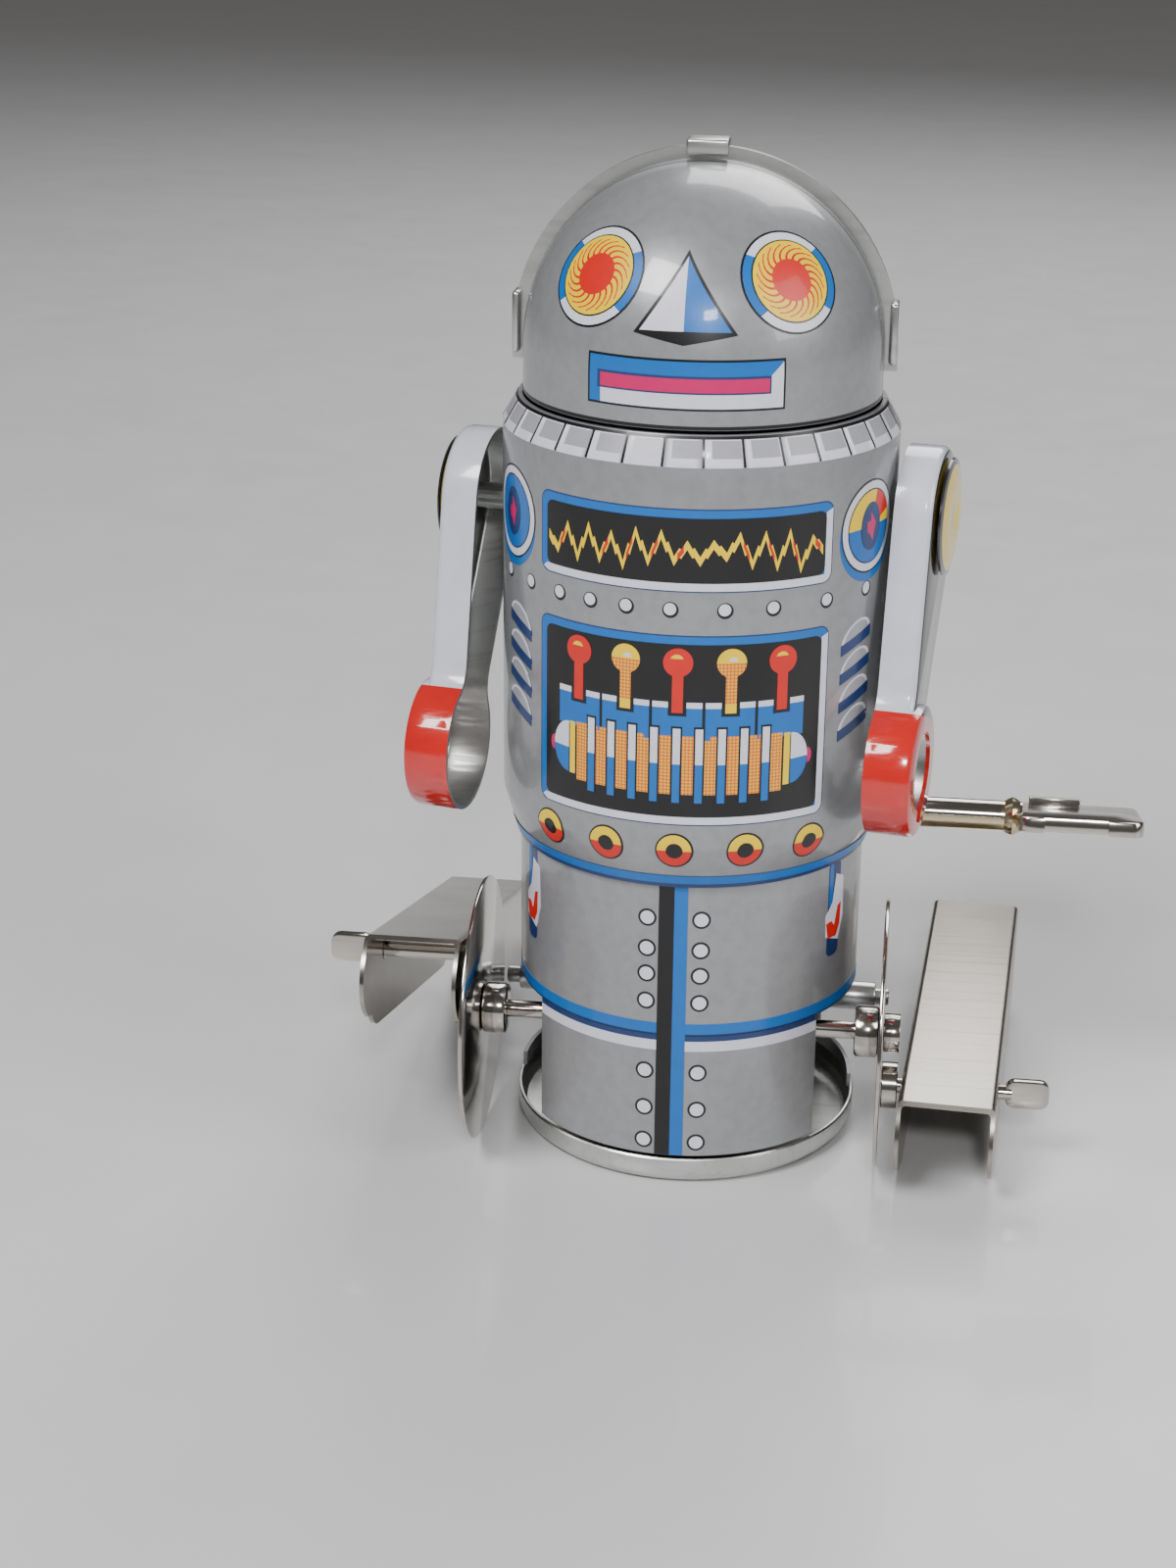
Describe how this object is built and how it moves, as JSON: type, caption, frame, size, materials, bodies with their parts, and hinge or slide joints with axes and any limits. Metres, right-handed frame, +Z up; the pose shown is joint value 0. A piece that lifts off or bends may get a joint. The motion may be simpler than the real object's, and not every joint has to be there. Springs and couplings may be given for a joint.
{
  "type": "tin wind-up robot",
  "caption": "Cylindrical lithographed tin robot with a domed head, swinging arms, crank discs that drive two long channel feet, and a side winding key.",
  "frame": {"origin": "centre of the base cup on the surface that the robot stands on", "axes": "+Z up, the face looks along -Y, +X towards the winding key"},
  "size_m": [0.0779, 0.0514, 0.0963],
  "materials": {
    "enamel_silver": "satin silver-grey litho enamel",
    "enamel_white": "gloss white enamel",
    "enamel_yellow": "gloss yellow enamel",
    "nickel": "bright nickel plate",
    "zinc": "zinc plated steel",
    "tinplate": "bare tinplate",
    "brass": "plain brass",
    "spring_steel": "blued spring steel"
  },
  "bodies": {
    "body": {"base_cup": "tinplate", "hips_front": "enamel_silver", "hips_rear": "enamel_silver", "torso_front": "enamel_silver", "torso_rear": "enamel_silver", "head_front": "enamel_silver", "head_rear": "tinplate", "left_shoulder_rivet": "tinplate", "right_shoulder_rivet": "tinplate", "left_shoulder_cap": "enamel_yellow", "right_shoulder_cap": "enamel_yellow", "left_rod_sleeve": "zinc", "right_rod_sleeve": "zinc", "left_motor_plate": "zinc", "right_motor_plate": "zinc", "guide_rod": "zinc", "pillar_1": "brass", "pillar_2": "brass", "pillar_3": "brass", "pillar_4": "brass", "mainspring": "spring_steel"},
    "drive": {"main_axle": "nickel", "axle_pinion": "nickel", "left_crank_disc": "nickel", "left_disc_collar": "nickel", "left_axle_boss": "nickel", "left_crank_pin": "nickel", "right_crank_disc": "nickel", "right_disc_collar": "nickel", "right_axle_boss": "nickel", "right_crank_pin": "nickel"},
    "left_foot": {"left_foot": "nickel"},
    "right_foot": {"right_foot": "nickel"},
    "second": {"second_arbor": "nickel", "second_wheel": "brass", "second_pinion": "nickel"},
    "great": {"great_wheel": "brass", "click": "spring_steel"},
    "winding": {"winding_arbor": "nickel", "ratchet_wheel": "nickel", "winding_key": "nickel"},
    "left_arm": {"left_arm": "enamel_white"},
    "right_arm": {"right_arm": "enamel_white"}
  },
  "joints": [
    {"name": "crank_turn", "type": "hinge", "parent": "body", "child": "drive", "pos_m": [0, -0.008, 0.0132], "axis": [1, 0, 0], "continuous": true},
    {"name": "left_foot_pin", "type": "hinge", "parent": "drive", "child": "left_foot", "pos_m": [-0.02495, -0.008, 0.0188], "axis": [1, 0, 0], "continuous": true},
    {"name": "right_foot_pin", "type": "hinge", "parent": "drive", "child": "right_foot", "pos_m": [0.0265, -0.008, 0.0076], "axis": [1, 0, 0], "continuous": true},
    {"name": "second_turn", "type": "hinge", "parent": "body", "child": "second", "pos_m": [0, -0.00034, 0.02109], "axis": [1, 0, 0], "continuous": true},
    {"name": "great_turn", "type": "hinge", "parent": "body", "child": "great", "pos_m": [0.004, 0.0055, 0.031], "axis": [1, 0, 0], "continuous": true},
    {"name": "key_wind", "type": "hinge", "parent": "great", "child": "winding", "pos_m": [0.004, 0.0055, 0.031], "axis": [1, 0, 0], "continuous": true},
    {"name": "left_arm_swing", "type": "hinge", "parent": "body", "child": "left_arm", "pos_m": [-0.01899, 0, 0.0627], "axis": [0.9848, -0.1736, 0], "continuous": true},
    {"name": "right_arm_swing", "type": "hinge", "parent": "body", "child": "right_arm", "pos_m": [0.01919, 0, 0.0627], "axis": [0.9848, -0.1736, 0], "continuous": true}
  ],
  "couplings": [
    {"joint": "left_foot_pin", "follows": "crank_turn", "ratio": -1},
    {"joint": "right_foot_pin", "follows": "crank_turn", "ratio": -1},
    {"joint": "second_turn", "follows": "crank_turn", "ratio": -0.29412},
    {"joint": "great_turn", "follows": "crank_turn", "ratio": 0.081699}
  ]
}
